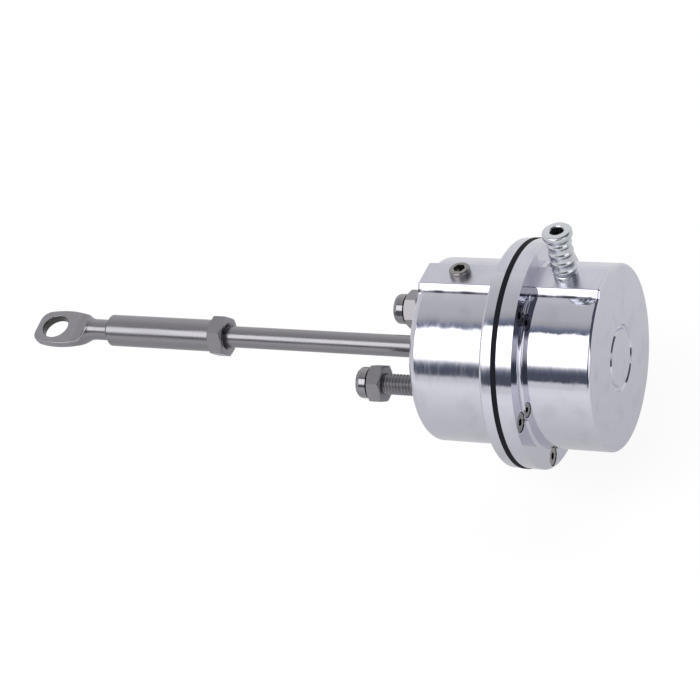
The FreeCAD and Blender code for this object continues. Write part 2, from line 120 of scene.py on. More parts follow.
# Pads and the fillets at the feet of their slopes. Each foot has an open end, where the fillet fades
# in over the third length, and a closed end.
BODY_RADIUS = 25.9 * MM
PAD_HALF = 4.5 * MM
PAD_LEVEL = 27.0 * MM
PAD_SLOPE = 51.0
FOOT_RADIUS = 1.3 * MM
FOOT_STEPS = 10
FOOT_SINK = 0.6 * MM
FOOT_SHARES = (0.0, 0.1, 0.3, 0.6, 1.0)
FOOT_LEAST = 0.03
HOUSING_FOOT = (2.6 * MM, 23.6 * MM, 1.6 * MM)
CAP_FOOT = (51.5 * MM, 32.7 * MM, 0.9 * MM)

# Noise. A grain counts features: a metre along the turned outline, and a radian round the axis.
# Patches turn a noise into a value: noise from and to, value from and to.
NOISE_DETAIL = 3.0
PATCH_DETAIL = 4.0
ROUGHNESS_SPREAD = 0.2

# Polish of the can
POLISH_COLOUR = (0.665, 0.665, 0.745)
POLISH_ROUGHNESS = 0.05
POLISH_CLEAN = (0.672, 0.672, 0.752, 1)
POLISH_SMUDGED = (0.52, 0.52, 0.60, 1)
WANDER_GRAIN = (260.0, 2.0)
WANDER_TILT = 0.034
WANDER_FADE = (15 * MM, 19.5 * MM, 0.25, 1.0)
STREAK_GRAIN = (1500.0, 5.0)
STREAK_TILT = 0.012
SMUDGE_GRAIN = (130.0, 2.5)
SMUDGE_PATCHES = (0.52, 0.72, 0.0, 0.35)
SMEAR_GRAIN = (900.0, 4.0)
SMEAR_PATCHES = (0.4, 0.75, 0.03, 0.12)
HOUSING_DULLNESS = (25 * MM, 27 * MM, 0.08, 0.0)

# Satin of the pads' flats and the end face, and how far past them it reaches
PAD_SATIN = 0.3
END_SATIN = 0.28
SATIN_DEPTH = 0.05 * MM
SATIN_MARGIN = 0.1 * MM

# Painted shade in patches along the pads' feet, which lie at this place beside the axis and above it
PAD_FOOT = (5.95 * MM, 25.2 * MM)
FOOT_SHADE_COLOUR = (0.10, 0.10, 0.12, 1)
FOOT_SHADE_GRAIN = (260.0, 3.0)
FOOT_SHADE_PATCHES = (0.35, 0.6, 0.5, 1.0)
FOOT_SHADE_REACH = 0.62 * MM
FOOT_SHADE_END = 51.0 * MM
FOOT_SHADE_FADE = 1 * MM

# Brushed bars
BRUSH_GRAIN = (120.0, 9.0)
WEAR_GRAIN = (60.0, 4.0)

# Fillets between the round body and its flanges, and the counterbores that cut the cap's one
ROOT_STEPS = 8
ROOT_SIDES = 144
ROOT_SINK = 0.4 * MM
HOUSING_ROOT = (26.95 * MM, 1.8 * MM)
CAP_ROOT = (32.8 * MM, 0.9 * MM)
CUTTER_RADIUS = 2.85 * MM
SCREW_CIRCLE = 28.8 * MM
SCREW_COUNT = 6

# Hose barb, heights above the cap's pad
BARB_BORE = 1.85 * MM
BARB_BORE_EDGE = 0.25 * MM
BARB_BASE = 3.35 * MM
BARB_BASE_HEIGHT = 2.3 * MM
BARB_BASE_EDGE = 0.2 * MM
BARB_THREAD = 2.48 * MM
BARB_VALLEY = 3.18 * MM
BARB_RIB = 3.47 * MM
BARB_RIB_FIRST = 3.6 * MM
BARB_RIB_PITCH = 2.75 * MM
BARB_RIB_HALF = 0.95 * MM
BARB_RIB_COUNT = 4
BARB_RIB_STEPS = 12
BARB_HEAD = 4.1 * MM
BARB_HEAD_START = 12.85 * MM
BARB_HEAD_FULL = 14.2 * MM
BARB_HEAD_ROUND = 0.7 * MM
BARB_HEAD_STEPS = 6
BARB_CONE_BACK = (0.12 * MM, 0.25 * MM)
BARB_CREASE = 40
BARB_SIDES = 72

# Lock nuts: from where to where their smoother crowns go, and the groove behind each crown, painted black as
# shade.
# The second nut stands further out by the stagger.
CROWN_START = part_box("lock_nut_1")[0].x - 0.5 * MM
CROWN_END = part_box("lock_nut_1")[0].x + 3.2 * MM
CROWN_BLUR = 0.1 * MM
CROWN_SHINE = 0.2
NUT_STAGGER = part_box("lock_nut_1")[0].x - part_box("lock_nut_2")[0].x
SLIT_WIDTH = 0.5 * MM
SLIT_BLUR = 0.05 * MM
SLIT_SHADE_COLOUR = (0.02, 0.02, 0.02, 1)

# Return spring
SPRING_WIRE = 2.2 * MM
SPRING_GROUND = SPRING_WIRE / 4
SPRING_TURNS = 3.0
SPRING_END_TURN = 0.5
SPRING_STEPS = 48
SPRING_SIDES = 14

# Rod end: its bore and the painted shade inside it, the patchy skin of its eye, the forging's grain and how
# far it is softened
EYE_CENTRE = Vector((-129.25, 0.17, -0.884)) * MM
EYE_AXIS = (0, -0.189095, 0.981959)
EYE_BORE = 4.05 * MM
EYE_BORE_SHADE_FADE = (EYE_BORE + 0.1 * MM, EYE_BORE + 0.3 * MM, 1.0, 0.0)
EYE_BORE_SHADE_COLOUR = (0.09, 0.09, 0.085, 1)
SKIN_FADE = (-123.0 * MM, -120.0 * MM, 1.0, 0.0)
SKIN_SCALE = 700.0
SKIN_BRIGHTER = 1.3
FORGING_GRAIN = 0.16 * MM
FORGING_SOFTNESS = 0.5
FORGING_SMOOTHING = 14


def new_material(name):
    """Empty material; returns its tree and shader too, so that the finish can be added."""
    material = bpy.data.materials.new(name)
    material.use_nodes = True
    tree = material.node_tree
    return material, tree, tree.nodes["Principled BSDF"]


def feed(tree, socket, value):
    """Link a socket to an input, or set the input to a plain value."""
    if isinstance(value, bpy.types.NodeSocket):
        tree.links.new(value, socket)
    else:
        socket.default_value = value


def calculate(tree, operation, *values):
    node = tree.nodes.new("ShaderNodeMath")
    node.operation = operation
    for socket, value in zip(node.inputs, values):
        feed(tree, socket, value)
    return node.outputs[0]


def vector_maths(tree, operation, *values):
    node = tree.nodes.new("ShaderNodeVectorMath")
    node.operation = operation
    for socket, value in zip(node.inputs, values):
        feed(tree, socket, value)
    return node.outputs[0]


def fade(tree, value, start, end, low=0.0, high=1.0):
    """Smooth step from low to high while the value goes from start to end."""
    node = tree.nodes.new("ShaderNodeMapRange")
    node.interpolation_type = "SMOOTHSTEP"
    for name, number in (("Value", value), ("From Min", start), ("From Max", end),
                         ("To Min", low), ("To Max", high)):
        feed(tree, node.inputs[name], number)
    return node.outputs[0]


def blend_colours(tree, factor, first, second):
    node = tree.nodes.new("ShaderNodeMix")
    node.data_type = "RGBA"
    colours = [socket for socket in node.inputs if socket.type == "RGBA"]
    feed(tree, node.inputs[0], factor)
    feed(tree, colours[0], first)
    feed(tree, colours[1], second)
    return [socket for socket in node.outputs if socket.type == "RGBA"][0]


def ramp(tree, place, stops):
    """Colour ramp from (place, colour) stops."""
    node = tree.nodes.new("ShaderNodeValToRGB")
    elements = node.color_ramp.elements
    while len(elements) < len(stops):
        elements.new(0.5)
    for element, (position, colour) in zip(elements, stops):
        element.position = position
        element.color = (*colour, 1)
    tree.links.new(place, node.inputs[0])
    return node.outputs["Color"]


def noise(tree, place, scale=1.0, detail=NOISE_DETAIL):
    node = tree.nodes.new("ShaderNodeTexNoise")
    node.inputs["Scale"].default_value = scale
    node.inputs["Detail"].default_value = detail
    tree.links.new(place, node.inputs["Vector"])
    return node.outputs[0]


def split(tree, vector):
    node = tree.nodes.new("ShaderNodeSeparateXYZ")
    tree.links.new(vector, node.inputs[0])
    return node.outputs


def join(tree, x, y, z):
    node = tree.nodes.new("ShaderNodeCombineXYZ")
    for socket, value in zip(node.inputs, (x, y, z)):
        feed(tree, socket, value)
    return node.outputs[0]


def distance(tree, *sides):
    """Square root of the sum of the sides' squares."""
    total = calculate(tree, "MULTIPLY", sides[-1], sides[-1])
    for side in reversed(sides[:-1]):
        total = calculate(tree, "MULTIPLY_ADD", side, side, total)
    return calculate(tree, "SQRT", total)


def object_place(tree):
    return tree.nodes.new("ShaderNodeTexCoord").outputs["Object"]


def add_camera():
    data = bpy.data.cameras.new("camera")
    data.lens = CAMERA_LENS
    data.sensor_width = CAMERA_SENSOR
    camera = bpy.data.objects.new("camera", data)
    bpy.context.collection.objects.link(camera)
    turn = (CAMERA_AIM - CAMERA_PLACE).to_track_quat("-Z", "Y")
    roll = Matrix.Rotation(math.radians(-CAMERA_ROLL), 4, "Z")
    camera.matrix_world = Matrix.Translation(CAMERA_PLACE) @ turn.to_matrix().to_4x4() @ roll
    bpy.context.scene.camera = camera


def studio_stops(levels):
    """Ramp stops round the axis; dark levels are a little blue."""
    stops = []
    for degrees, level in levels:
        tint = STUDIO_SHADE if level < STUDIO_SHADE_LEVEL else (1, 1, 1)
        stops.append(((degrees + 180) / 360, [level * share / STUDIO_PEAK for share in tint]))
    return stops


def add_world():
    world = bpy.data.worlds.new("studio")
    bpy.context.scene.world = world
    world.use_nodes = True
    tree = world.node_tree
    tree.nodes.clear()
    place = tree.nodes.new("ShaderNodeTexCoord")
    x, y, z = split(tree, place.outputs["Generated"])
    angle = calculate(tree, "ARCTAN2", calculate(tree, "MULTIPLY", y, -1.0), z)
    share = calculate(tree, "MULTIPLY_ADD", angle, 1 / (2 * math.pi), 0.5)
    level = ramp(tree, share, studio_stops(ROD_SIDE))
    for (start, end), levels in zip(TURNS, (ACROSS, CAP_SIDE, CAP_END)):
        level = blend_colours(tree, fade(tree, x, start, end), level,
                              ramp(tree, share, studio_stops(levels)))
    studio = tree.nodes.new("ShaderNodeBackground")
    studio.inputs["Strength"].default_value = STUDIO_PEAK
    tree.links.new(level, studio.inputs["Color"])
    white = tree.nodes.new("ShaderNodeBackground")
    white.inputs["Color"].default_value = (1, 1, 1, 1)
    path = tree.nodes.new("ShaderNodeLightPath")
    mix = tree.nodes.new("ShaderNodeMixShader")
    tree.links.new(path.outputs["Is Camera Ray"], mix.inputs[0])
    tree.links.new(studio.outputs[0], mix.inputs[1])
    tree.links.new(white.outputs[0], mix.inputs[2])
    out = tree.nodes.new("ShaderNodeOutputWorld")
    tree.links.new(mix.outputs[0], out.inputs["Surface"])


def floor_material():
    material, tree, shader = new_material("floor")
    shader.inputs["Base Color"].default_value = FLOOR_COLOUR
    shader.inputs["Roughness"].default_value = 1.0
    shader.inputs["Specular IOR Level"].default_value = 0.0
    path = tree.nodes.new("ShaderNodeLightPath")
    across = split(tree, object_place(tree))[1]
    share = calculate(tree, "MULTIPLY_ADD", across, 0.5 / FLOOR_REACH, 0.5)
    # painted shadow: the glow seen in the metal is darker beneath the object
    reflected_glow_and_shadow = ramp(tree, share, [((0.5 + 0.5 * y / FLOOR_REACH), (level,) * 3) for y, level in FLOOR_GLOW_WITH_PAINTED_SHADOW])
    shown = blend_colours(tree, path.outputs["Is Camera Ray"], reflected_glow_and_shadow, (1, 1, 1, 1))
    emission = tree.nodes.new("ShaderNodeEmission")
    tree.links.new(shown, emission.inputs["Color"])
    seen = calculate(tree, "MAXIMUM", path.outputs["Is Camera Ray"], path.outputs["Is Glossy Ray"])
    mix = tree.nodes.new("ShaderNodeMixShader")
    tree.links.new(calculate(tree, "MULTIPLY", seen, FLOOR_SEEN), mix.inputs[0])
    tree.links.new(shader.outputs[0], mix.inputs[1])
    tree.links.new(emission.outputs[0], mix.inputs[2])
    tree.links.new(mix.outputs[0], tree.nodes["Material Output"].inputs["Surface"])
    return material


def add_floor():
    half = FLOOR_SIZE / 2
    corners = [(-half, -half), (half, -half), (half, half), (-half, half)]
    mesh = bpy.data.meshes.new("floor")
    mesh.from_pydata([(x, y, FLOOR_LEVEL) for x, y in corners], [], [(0, 1, 2, 3)])
    floor = bpy.data.objects.new("floor", mesh)
    bpy.context.collection.objects.link(floor)
    mesh.materials.append(floor_material())


def add_lamp(name, place, size, power):
    data = bpy.data.lights.new(name, "AREA")
    data.shape = "RECTANGLE"
    data.size = size[0]
    data.size_y = size[1]
    data.energy = power
    lamp = bpy.data.objects.new(name, data)
    lamp.location = place
    lamp.rotation_euler = (-Vector(place)).to_track_quat("-Z", "Y").to_euler()
    lamp.visible_glossy = False
    lamp.visible_camera = False
    bpy.context.collection.objects.link(lamp)


def round_place(tree, grain):
    """Noise place along the turned outline and round the X axis."""
    along, around = grain
    x, y, z = split(tree, object_place(tree))
    outline = calculate(tree, "MULTIPLY", calculate(tree, "ADD", x, distance(tree, y, z)), along)
    turn = calculate(tree, "MULTIPLY", calculate(tree, "ARCTAN2", y, z), around)
    return join(tree, outline, turn, 0.0)


def streak_lean(tree, grain, tilt):
    """Angle that wanders between -tilt and tilt."""
    return calculate(tree, "MULTIPLY_ADD", noise(tree, round_place(tree, grain)), 2 * tilt, -tilt)


def streaked_normal(tree, lean):
    """Surface normal that leans round the X axis by the given angle."""
    normal = tree.nodes.new("ShaderNodeNewGeometry").outputs["Normal"]
    round_axis = vector_maths(tree, "CROSS_PRODUCT", (1, 0, 0), normal)
    scaled = tree.nodes.new("ShaderNodeVectorMath")
    scaled.operation = "SCALE"
    tree.links.new(round_axis, scaled.inputs[0])
    tree.links.new(lean, scaled.inputs["Scale"])
    return vector_maths(tree, "NORMALIZE", vector_maths(tree, "ADD", normal, scaled.outputs[0]))


def vary_roughness(tree, shader, level, roughness):
    """Let the roughness follow a noise, half the spread to either side."""
    varied = calculate(tree, "MULTIPLY_ADD", level, ROUGHNESS_SPREAD, roughness - ROUGHNESS_SPREAD / 2)
    tree.links.new(varied, shader.inputs["Roughness"])


def metal(name, colour, roughness):
    """Plain metal, as new_material returns it."""
    material, tree, shader = new_material(name)
    shader.inputs["Base Color"].default_value = (*colour, 1)
    shader.inputs["Metallic"].default_value = 1.0
    shader.inputs["Roughness"].default_value = roughness
    return material, tree, shader


def pad_foot_painted_shade(tree, x, y, z):
    """Share of painted shade, a dark line in patches along the feet of the pads' slopes."""
    beside = calculate(tree, "SUBTRACT", calculate(tree, "ABSOLUTE", y), PAD_FOOT[0])
    above = calculate(tree, "SUBTRACT", z, PAD_FOOT[1])
    near = fade(tree, distance(tree, beside, above), 0.5 * FOOT_SHADE_REACH, FOOT_SHADE_REACH, 1.0, 0.0)
    short = fade(tree, x, FOOT_SHADE_END - FOOT_SHADE_FADE, FOOT_SHADE_END, 1.0, 0.0)
    level = noise(tree, round_place(tree, FOOT_SHADE_GRAIN), detail=PATCH_DETAIL)
    share = calculate(tree, "MULTIPLY", fade(tree, level, *FOOT_SHADE_PATCHES), near)
    return calculate(tree, "MULTIPLY", share, short)


def polish_roughness(tree, x, y, z):
    """Smeared polish, duller on the housing; the pads' flats and the end face are satin."""
    on_flat = calculate(tree, "GREATER_THAN", z, PAD_LEVEL - SATIN_DEPTH)
    on_pad = calculate(tree, "LESS_THAN", calculate(tree, "ABSOLUTE", y), PAD_HALF + SATIN_MARGIN)
    on_end = calculate(tree, "GREATER_THAN", x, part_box("cap")[1].x - SATIN_DEPTH)
    rough = fade(tree, noise(tree, round_place(tree, SMEAR_GRAIN)), *SMEAR_PATCHES)
    rough = calculate(tree, "ADD", rough, fade(tree, x, *HOUSING_DULLNESS))
    rough = calculate(tree, "MULTIPLY_ADD", calculate(tree, "MULTIPLY", on_flat, on_pad), PAD_SATIN, rough)
    return calculate(tree, "MULTIPLY_ADD", on_end, END_SATIN, rough)


def polished_aluminium():
    """Mirror polish with streaks round the can, faint smudges, and painted shade in its corners at the pads'
    feet.
    """
    material, tree, shader = metal("polished_aluminium", POLISH_COLOUR, POLISH_ROUGHNESS)
    x, y, z = split(tree, object_place(tree))
    upper = fade(tree, z, *WANDER_FADE)
    wander = calculate(tree, "MULTIPLY", streak_lean(tree, WANDER_GRAIN, WANDER_TILT), upper)
    lean = calculate(tree, "ADD", streak_lean(tree, STREAK_GRAIN, STREAK_TILT), wander)
    tree.links.new(streaked_normal(tree, lean), shader.inputs["Normal"])
    level = noise(tree, round_place(tree, SMUDGE_GRAIN), detail=PATCH_DETAIL)
    polish = blend_colours(tree, fade(tree, level, *SMUDGE_PATCHES), POLISH_CLEAN, POLISH_SMUDGED)
    # painted shade: a dark colour blended in along the pads' feet
    shade = blend_colours(tree, pad_foot_painted_shade(tree, x, y, z), polish, FOOT_SHADE_COLOUR)
    tree.links.new(shade, shader.inputs["Base Color"])
    tree.links.new(polish_roughness(tree, x, y, z), shader.inputs["Roughness"])
    return material


def brushed_steel(name, colour, roughness, tilt):
    """Round bar brushed along its length."""
    material, tree, shader = metal(name, colour, roughness)
    tree.links.new(streaked_normal(tree, streak_lean(tree, BRUSH_GRAIN, tilt)), shader.inputs["Normal"])
    wear = noise(tree, round_place(tree, WEAR_GRAIN), detail=PATCH_DETAIL)
    vary_roughness(tree, shader, wear, roughness)
    return material, tree, shader


def forged_steel(name, colour, roughness, tilt):
    """Brushed steel whose eye keeps a patchy forged skin, and whose bore is darkened with painted shade."""
    material, tree, shader = brushed_steel(name, colour, roughness, tilt)
    place = object_place(tree)
    offset = vector_maths(tree, "SUBTRACT", place, tuple(EYE_CENTRE))
    across = vector_maths(tree, "CROSS_PRODUCT", offset, EYE_AXIS)
    bore_shade = fade(tree, distance(tree, *split(tree, across)), *EYE_BORE_SHADE_FADE)
    skin = fade(tree, split(tree, place)[0], *SKIN_FADE)
    patches = calculate(tree, "MULTIPLY", noise(tree, place, SKIN_SCALE, PATCH_DETAIL), skin)
    bright = (*[min(1.0, share * SKIN_BRIGHTER) for share in colour], 1)
    shade = blend_colours(tree, patches, (*colour, 1), bright)
    # painted shade: the bore's wall is blended to a dark colour
    tree.links.new(blend_colours(tree, bore_shade, shade, EYE_BORE_SHADE_COLOUR), shader.inputs["Base Color"])
    return material


def mottled_metal(name, colour, roughness, scale=900.0, spread=0.15):
    """Metal with an even, slightly patchy surface."""
    material, tree, shader = metal(name, colour, roughness)
    patches = noise(tree, object_place(tree), scale)
    dark = tuple(share * (1 - spread) for share in colour) + (1,)
    light = tuple(min(1.0, share * (1 + spread)) for share in colour) + (1,)
    tree.links.new(blend_colours(tree, patches, dark, light), shader.inputs["Base Color"])
    vary_roughness(tree, shader, patches, roughness)
    return material


def nut_steel(name, colour, roughness):
    """Plated steel of the nuts and studs; the nuts' crowns are smoother and end at a groove painted black as
    shade.
    """
    material = mottled_metal(name, colour, roughness)
    tree = material.node_tree
    shader = tree.nodes["Principled BSDF"]
    plated = shader.inputs["Base Color"].links[0].from_socket
    worn = shader.inputs["Roughness"].links[0].from_socket
    x, y, _ = split(tree, object_place(tree))
    x = calculate(tree, "MULTIPLY_ADD", calculate(tree, "GREATER_THAN", y, 0.0), NUT_STAGGER, x)
    crown = fade(tree, x, CROWN_END - CROWN_BLUR, CROWN_END + CROWN_BLUR, 1.0, 0.0)
    crown = calculate(tree, "MULTIPLY", crown, calculate(tree, "GREATER_THAN", x, CROWN_START))
    outside = calculate(tree, "ABSOLUTE", calculate(tree, "SUBTRACT", x, CROWN_END + SLIT_WIDTH / 2))
    slit = fade(tree, outside, SLIT_WIDTH / 2, SLIT_WIDTH / 2 + SLIT_BLUR, 1.0, 0.0)
    # painted shade: the groove behind each crown is blended to black
    tree.links.new(blend_colours(tree, slit, plated, SLIT_SHADE_COLOUR), shader.inputs["Base Color"])
    tree.links.new(calculate(tree, "MULTIPLY_ADD", crown, -CROWN_SHINE, worn), shader.inputs["Roughness"])
    return material


def soft_material(name, colour, roughness, scale, height, shine=0.5):
    """Rubber or plastic with a fine grain."""
    material, tree, shader = new_material(name)
    shader.inputs["Base Color"].default_value = (*colour, 1)
    shader.inputs["Specular IOR Level"].default_value = shine
    grain = noise(tree, object_place(tree), scale)
    bump = tree.nodes.new("ShaderNodeBump")
    bump.inputs["Distance"].default_value = height
    tree.links.new(grain, bump.inputs["Height"])
    tree.links.new(bump.outputs[0], shader.inputs["Normal"])
    vary_roughness(tree, shader, grain, roughness)
    return material


def place_mesh(mesh, body, slot, *nodes):
    """Show a mesh as a piece of the same name, riding on a body in place of the named nodes."""
    piece = bpy.data.objects.new(mesh.name, mesh)
    bpy.context.collection.objects.link(piece)
    mesh.materials.append(finishes[slot])
    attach(piece, body)
    if nodes:
        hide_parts(*nodes)
    return piece


def turned_mesh(name, vertices, faces):
    """Mesh whose four-sided faces are smooth; any others are its flat ends."""
    mesh = bpy.data.meshes.new(name)
    mesh.from_pydata(vertices, [], faces)
    mesh.polygons.foreach_set("use_smooth", [len(face) == 4 for face in faces])
    return mesh


def add_piece(name, vertices, faces, normals, *nodes):
    """Polished piece of the can, with a normal for each face corner."""
    mesh = bpy.data.meshes.new(name)
    mesh.from_pydata(vertices, [], faces)
    mesh.polygons.foreach_set("use_smooth", [True] * len(mesh.polygons))
    mesh.normals_split_custom_set([normal for corners in normals for normal in corners])
    place_mesh(mesh, "can", "polished_aluminium", *nodes)


def ring_faces(bands, rings, sides):
    """Four-sided faces that join each ring of corners to the next; after the last comes the first."""
    faces = []
    for ring in range(bands):
        here = ring * sides
        there = (ring + 1) % rings * sides
        for side in range(sides):
            after = (side + 1) % sides
            faces.append([here + side, here + after, there + after, there + side])
    return faces


def threaded_stud(number):
    """Stud whose thread shows between the can and its nut; the thread is a real helix."""
    node = "mounting_stud_%d" % number
    low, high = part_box(node)
    radius = (high.z - low.z) / 2
    middle_y = (low.y + high.y) / 2
    length = THREAD_IN - low.x
    count = int(length / (THREAD_PITCH / THREAD_STEPS))
    vertices = []
    for index in range(count + 1):
        x = low.x + length * index / count
        limit = radius - max(0.0, THREAD_CHAMFER - (x - low.x))
        for side in range(THREAD_SIDES):
            angle = 2 * math.pi * side / THREAD_SIDES
            phase = (x / THREAD_PITCH - side / THREAD_SIDES) % 1.0
            flank = min(1.0, max(0.0, abs(2 * phase - 1) * FLANK_STEEPNESS - FLANK_OFFSET))
            reach = min(limit, radius - THREAD_DEPTH * (1 - flank))
            vertices.append((x, middle_y + reach * math.cos(angle), reach * math.sin(angle)))
    faces = ring_faces(count, count + 1, THREAD_SIDES)
    faces.append(list(reversed(range(THREAD_SIDES))))
    faces.append(list(range(count * THREAD_SIDES, (count + 1) * THREAD_SIDES)))
    place_mesh(turned_mesh("stud_thread_%d" % number, vertices, faces), "can", "zinc_steel", node)


def ring_points(x, radius):
    """Circle about the axis, from +Y towards +Z."""
    turns = [2 * math.pi * side / GROOVE_SIDES for side in range(GROOVE_SIDES)]
    return [Vector((x, radius * math.cos(turn), radius * math.sin(turn))) for turn in turns]


def boundary_loop(faces):
    """Corners of the rim round a set of faces, in order."""
    edges = {}
    for face in faces:
        for first, second in zip(face, face[1:] + face[:1]):
            edges[(first, second)] = True
    following = {first: second for first, second in edges if (second, first) not in edges}
    start = next(iter(following))
    loop = [start]
    while following[loop[-1]] != start:
        loop.append(following[loop[-1]])
    return loop


def merged_corners(mesh):
    """A mesh's places without doubles, and for each of its vertices the number of its place."""
    numbers = {}
    places = []
    merged = []
    for vertex in mesh.vertices:
        key = tuple(round(value, MERGE_DIGITS) for value in vertex.co)
        if key not in numbers:
            numbers[key] = len(places)
            places.append(vertex.co.copy())
        merged.append(numbers[key])
    return places, merged


def cap_faces(mesh, merged, end):
    """The cap's faces, their corner normals, and the faces of its flat end apart from them."""
    corner_normals = [corner.vector.copy() for corner in mesh.corner_normals]
    faces = []
    normals = []
    end_faces = []
    for polygon in mesh.polygons:
        corners = [merged[index] for index in polygon.vertices]
        if len(set(corners)) < len(corners):
            continue
        if polygon.normal.x > END_FACING and abs(polygon.center.x - end) < END_MARGIN:
            end_faces.append(corners)
        else:
            faces.append(corners)
            normals.append([corner_normals[index] for index in polygon.loop_indices])
    return faces, normals, end_faces


def flat_faces(vertices, rim, ring):
    """Triangles that face forward between the end face's rim and a ring inside it."""
    order = rim + ring
    loops = [[Vector((vertices[index].y, vertices[index].z, 0)) for index in loop] for loop in (rim, ring)]
    faces = []
    for triangle in tessellate_polygon(loops):
        corners = [order[index] for index in triangle]
        first, second, third = (vertices[index] for index in corners)
        if (second - first).cross(third - first).x < 0:
            corners.reverse()
        faces.append(corners)
    return faces


def groove_profile(end):
    """(x, radius) of the groove's rings, from the outer edge to the inner one."""
    bend = GROOVE_WIDTH * GROOVE_BEND[0]
    shoulder = end - GROOVE_DEPTH * GROOVE_BEND[1]
    return [
        (end, GROOVE_RADIUS + GROOVE_WIDTH / 2),
        (shoulder, GROOVE_RADIUS + bend),
        (end - GROOVE_DEPTH, GROOVE_RADIUS),
        (shoulder, GROOVE_RADIUS - bend),
        (end, GROOVE_RADIUS - GROOVE_WIDTH / 2),
    ]


def groove_faces(profile, rings):
    """Faces of the groove from each of its rings to the next, with their corner normals."""
    faces = []
    normals = []
    for index in range(len(rings) - 1):
        rise = profile[index][0] - profile[index + 1][0]
        run = profile[index][1] - profile[index + 1][1]
        leans = [(FORWARD * run - outward * rise).normalized() for outward in ring_points(0, 1)]
        for side in range(GROOVE_SIDES):
            after = (side + 1) % GROOVE_SIDES
            upper = [rings[index][side], rings[index][after]]
            lower = [rings[index + 1][after], rings[index + 1][side]]
            faces.append(upper + lower)
            normals.append([leans[side], leans[after], leans[after], leans[side]])
    return faces, normals


def grooved_cap():
    """The cap's surface with a round groove cut in its end face."""
    mesh = frame["nodes"]["cap"].data
    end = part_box("cap")[1].x
    vertices, merged = merged_corners(mesh)
    faces, normals, end_faces = cap_faces(mesh, merged, end)
    rim = boundary_loop(end_faces)
    profile = groove_profile(end)
    rings = []
    for x, radius in profile:
        rings.append(list(range(len(vertices), len(vertices) + GROOVE_SIDES)))
        vertices += ring_points(x, radius)
    flat = flat_faces(vertices, rim, rings[0])
    groove, groove_normals = groove_faces(profile, rings)
    faces += flat + groove + [rings[-1]]
    normals += [[FORWARD] * 3] * len(flat) + groove_normals + [[FORWARD] * GROOVE_SIDES]
    add_piece("grooved_cap", vertices, faces, normals, "cap")


def foot_section(radius, side):
    """Cross-section of the fillet between a pad's slope and the round body: points and normals."""
    slope = math.radians(PAD_SLOPE)
    normal = Vector((math.sin(slope), math.cos(slope)))
    top = Vector((PAD_HALF, PAD_LEVEL))
    reach = normal.dot(top) + radius
    spread = math.sqrt((BODY_RADIUS + radius) ** 2 - reach ** 2)
    down = Vector((math.cos(slope), -math.sin(slope)))
    centre = normal * reach - down * spread
    first = math.atan2(-normal.x, -normal.y)
    last = math.atan2(-centre.x, -centre.y)
    points = []
    for step in range(FOOT_STEPS + 1):
        angle = first + (last - first) * step / FOOT_STEPS
        away = Vector((math.sin(angle), math.cos(angle)))
        points.append((centre + away * radius, -away))
    return [((place.x * side, place.y), (lean.x * side, lean.y)) for place, lean in points]


def pad_foot(name, span, side):
    """Strip that rounds the inner corner along a pad's foot and fades out at its open end."""
    open_end, closed_end, fading = span
    ahead = 1 if closed_end > open_end else -1
    stations = [(open_end + ahead * fading * share, max(share, FOOT_LEAST)) for share in FOOT_SHARES]
    stations.append((closed_end, 1.0))
    inward = 1 - FOOT_SINK / BODY_RADIUS
    vertices = []
    leans = []
    for x, share in stations:
        section = foot_section(FOOT_RADIUS * share, side)
        for (y, z), (lean_y, lean_z) in section:
            vertices.append((x, y, z))
            leans.append(Vector((0, lean_y, lean_z)))
        (y0, z0), _ = section[0]
        (y1, z1), _ = section[-1]
        vertices.append((x, (y0 + y1) / 2 * inward, (z0 + z1) / 2 * inward))
        leans.append(Vector((0, -side, -1)).normalized())
    width = FOOT_STEPS + 2
    last = (len(stations) - 1) * width
    faces = ring_faces(len(stations) - 1, len(stations), width)
    faces += [list(range(width))[::-1], list(range(last, last + width))]
    if side * ahead > 0:
        faces = [face[::-1] for face in faces]
    normals = [[leans[index] for index in face] for face in faces[:-2]]
    normals += [[Vector((-ahead, 0, 0))] * width, [Vector((ahead, 0, 0))] * width]
    add_piece(name, vertices, faces, normals)


def root_section(wall, radius, ahead):
    """Cross-section of a fillet between a flange's face and the round body, with its normals."""
    centre_x = wall + ahead * radius
    centre_radius = BODY_RADIUS + radius
    section = []
    for step in range(ROOT_STEPS + 1):
        angle = math.radians(90 * step / ROOT_STEPS)
        lean = (ahead * math.cos(angle), math.sin(angle))
        section.append((centre_x - radius * lean[0], centre_radius - radius * lean[1], lean))
    back = wall - ahead * ROOT_SINK
    floor = BODY_RADIUS - ROOT_SINK
    section += [(centre_x, floor, (0, -1)), (back, floor, (-ahead, 0)), (back, centre_radius, (-ahead, 0))]
    return section


def root_arc(name, section, first, last, ahead):
    """Part of a fillet round the body, from one angle to another; a whole turn closes on itself."""
    whole = last - first >= 360
    count = round(ROOT_SIDES * (last - first) / 360)
    rings = count if whole else count + 1
    width = len(section)
    vertices = []
    leans = []
    for ring in range(rings):
        turn = math.radians(first + (last - first) * ring / count)
        for x, radius, lean in section:
            vertices.append((x, radius * math.cos(turn), radius * math.sin(turn)))
            leans.append(Vector((lean[0], lean[1] * math.cos(turn), lean[1] * math.sin(turn))))
    faces = ring_faces(count, rings, width)
    normals = [[leans[index] for index in face] for face in faces]
    if not whole:
        for base, turn, way in ((0, first, -1), (count * width, last, 1)):
            angle = math.radians(turn)
            faces.append(list(range(base, base + width))[::way])
            normals.append([Vector((0, -way * math.sin(angle), way * math.cos(angle)))] * width)
    if ahead > 0:
        faces = [face[::-1] for face in faces]
        normals = [corners[::-1] for corners in normals]
    add_piece(name, vertices, faces, normals)


